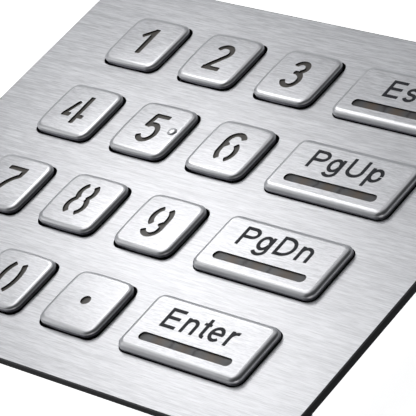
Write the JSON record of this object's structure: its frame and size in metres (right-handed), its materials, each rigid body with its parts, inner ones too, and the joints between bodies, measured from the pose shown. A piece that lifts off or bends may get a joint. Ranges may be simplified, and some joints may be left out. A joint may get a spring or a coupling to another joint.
{
  "type": "panel mount keypad",
  "caption": "Flat stainless panel-mount keypad with square number keys and wide function keys, each a sprung, backlit metal key that presses to close a contact.",
  "frame": {"origin": "centre of the pattern of panel studs, on the seating plane at the back of the front plate", "axes": "+X along the key rows towards the wide function keys, +Y towards the top row of keys, +Z out of the key tops"},
  "size_m": [0.1194, 0.1006, 0.0181],
  "materials": {
    "plate_steel": "fine straight brushing along the key rows, darkened cut edges",
    "key_steel": "brushed top with a polished rounded rim",
    "stud_steel": "plain turned",
    "gasket_rubber": "closed-cell foam rubber, matt",
    "guide_plastic": "moulded, lightly sparked",
    "silicone": "translucent, satin",
    "carbon_rubber": "matt",
    "board_laminate": "solder mask over glass laminate",
    "gold_plate": "gold flash",
    "amber_lamp": "clear moulded lens",
    "zinc_steel": "bright zinc plate",
    "chip_plastic": "moulded, matt",
    "can_metal": "drawn can, satin",
    "ceramic": "fired ceramic with tinned ends",
    "header_plastic": "moulded",
    "cover_steel": "pressed, zinc-coated sheet",
    "tinned_brass": "tinned",
    "light_resin": "smoky amber cast resin, satin face"
  },
  "bodies": {
    "housing": {"front_plate": "plate_steel", "panel_studs": "stud_steel", "panel_gasket": "gasket_rubber", "key_guide": "guide_plastic", "stack_studs": "stud_steel", "silicone_mat": "silicone", "mat_domes": "silicone", "contact_pills": "carbon_rubber", "circuit_board": "board_laminate", "contact_pads": "gold_plate", "backlight_leds": "amber_lamp", "stack_washers": "zinc_steel", "stack_nuts": "zinc_steel", "controller_chip": "chip_plastic", "crystal": "can_metal", "buzzer": "chip_plastic", "filter_capacitor": "can_metal", "small_parts": "ceramic", "connector_header": "header_plastic", "header_pins": "gold_plate", "rear_cover": "cover_steel", "cover_screws": "zinc_steel", "earth_stud": "stud_steel", "earth_tag": "tinned_brass", "earth_nut": "zinc_steel"},
    "key_1": {"keycap_1": "key_steel", "light_guide_1": "light_resin"},
    "key_2": {"keycap_2": "key_steel", "light_guide_2": "light_resin"},
    "key_3": {"keycap_3": "key_steel", "light_guide_3": "light_resin"},
    "key_esc": {"keycap_esc": "key_steel", "light_guide_esc": "light_resin"},
    "key_4": {"keycap_4": "key_steel", "light_guide_4": "light_resin"},
    "key_5": {"keycap_5": "key_steel", "light_guide_5": "light_resin"},
    "key_6": {"keycap_6": "key_steel", "light_guide_6": "light_resin"},
    "key_pgup": {"keycap_pgup": "key_steel", "light_guide_pgup": "light_resin"},
    "key_7": {"keycap_7": "key_steel", "light_guide_7": "light_resin"},
    "key_8": {"keycap_8": "key_steel", "light_guide_8": "light_resin"},
    "key_9": {"keycap_9": "key_steel", "light_guide_9": "light_resin"},
    "key_pgdn": {"keycap_pgdn": "key_steel", "light_guide_pgdn": "light_resin"},
    "key_minus": {"keycap_minus": "key_steel", "light_guide_minus": "light_resin"},
    "key_0": {"keycap_0": "key_steel", "light_guide_0": "light_resin"},
    "key_point": {"keycap_point": "key_steel", "light_guide_point": "light_resin"},
    "key_enter": {"keycap_enter": "key_steel", "light_guide_enter": "light_resin"}
  },
  "joints": [
    {"name": "key_1_press", "type": "slide", "parent": "housing", "child": "key_1", "axis": [0, 0, -1], "range_m": [0, 0.001], "stiffness_N_per_m": 2000, "springref_m": -0.0003, "deforming": ["mat_domes", "contact_pills"]},
    {"name": "key_2_press", "type": "slide", "parent": "housing", "child": "key_2", "axis": [0, 0, -1], "range_m": [0, 0.001], "stiffness_N_per_m": 2000, "springref_m": -0.0003, "deforming": ["mat_domes", "contact_pills"]},
    {"name": "key_3_press", "type": "slide", "parent": "housing", "child": "key_3", "axis": [0, 0, -1], "range_m": [0, 0.001], "stiffness_N_per_m": 2000, "springref_m": -0.0003, "deforming": ["mat_domes", "contact_pills"]},
    {"name": "key_esc_press", "type": "slide", "parent": "housing", "child": "key_esc", "axis": [0, 0, -1], "range_m": [0, 0.001], "stiffness_N_per_m": 2000, "springref_m": -0.0003, "deforming": ["mat_domes", "contact_pills"]},
    {"name": "key_4_press", "type": "slide", "parent": "housing", "child": "key_4", "axis": [0, 0, -1], "range_m": [0, 0.001], "stiffness_N_per_m": 2000, "springref_m": -0.0003, "deforming": ["mat_domes", "contact_pills"]},
    {"name": "key_5_press", "type": "slide", "parent": "housing", "child": "key_5", "axis": [0, 0, -1], "range_m": [0, 0.001], "stiffness_N_per_m": 2000, "springref_m": -0.0003, "deforming": ["mat_domes", "contact_pills"]},
    {"name": "key_6_press", "type": "slide", "parent": "housing", "child": "key_6", "axis": [0, 0, -1], "range_m": [0, 0.001], "stiffness_N_per_m": 2000, "springref_m": -0.0003, "deforming": ["mat_domes", "contact_pills"]},
    {"name": "key_pgup_press", "type": "slide", "parent": "housing", "child": "key_pgup", "axis": [0, 0, -1], "range_m": [0, 0.001], "stiffness_N_per_m": 2000, "springref_m": -0.0003, "deforming": ["mat_domes", "contact_pills"]},
    {"name": "key_7_press", "type": "slide", "parent": "housing", "child": "key_7", "axis": [0, 0, -1], "range_m": [0, 0.001], "stiffness_N_per_m": 2000, "springref_m": -0.0003, "deforming": ["mat_domes", "contact_pills"]},
    {"name": "key_8_press", "type": "slide", "parent": "housing", "child": "key_8", "axis": [0, 0, -1], "range_m": [0, 0.001], "stiffness_N_per_m": 2000, "springref_m": -0.0003, "deforming": ["mat_domes", "contact_pills"]},
    {"name": "key_9_press", "type": "slide", "parent": "housing", "child": "key_9", "axis": [0, 0, -1], "range_m": [0, 0.001], "stiffness_N_per_m": 2000, "springref_m": -0.0003, "deforming": ["mat_domes", "contact_pills"]},
    {"name": "key_pgdn_press", "type": "slide", "parent": "housing", "child": "key_pgdn", "axis": [0, 0, -1], "range_m": [0, 0.001], "stiffness_N_per_m": 2000, "springref_m": -0.0003, "deforming": ["mat_domes", "contact_pills"]},
    {"name": "key_minus_press", "type": "slide", "parent": "housing", "child": "key_minus", "axis": [0, 0, -1], "range_m": [0, 0.001], "stiffness_N_per_m": 2000, "springref_m": -0.0003, "deforming": ["mat_domes", "contact_pills"]},
    {"name": "key_0_press", "type": "slide", "parent": "housing", "child": "key_0", "axis": [0, 0, -1], "range_m": [0, 0.001], "stiffness_N_per_m": 2000, "springref_m": -0.0003, "deforming": ["mat_domes", "contact_pills"]},
    {"name": "key_point_press", "type": "slide", "parent": "housing", "child": "key_point", "axis": [0, 0, -1], "range_m": [0, 0.001], "stiffness_N_per_m": 2000, "springref_m": -0.0003, "deforming": ["mat_domes", "contact_pills"]},
    {"name": "key_enter_press", "type": "slide", "parent": "housing", "child": "key_enter", "axis": [0, 0, -1], "range_m": [0, 0.001], "stiffness_N_per_m": 2000, "springref_m": -0.0003, "deforming": ["mat_domes", "contact_pills"]}
  ]
}
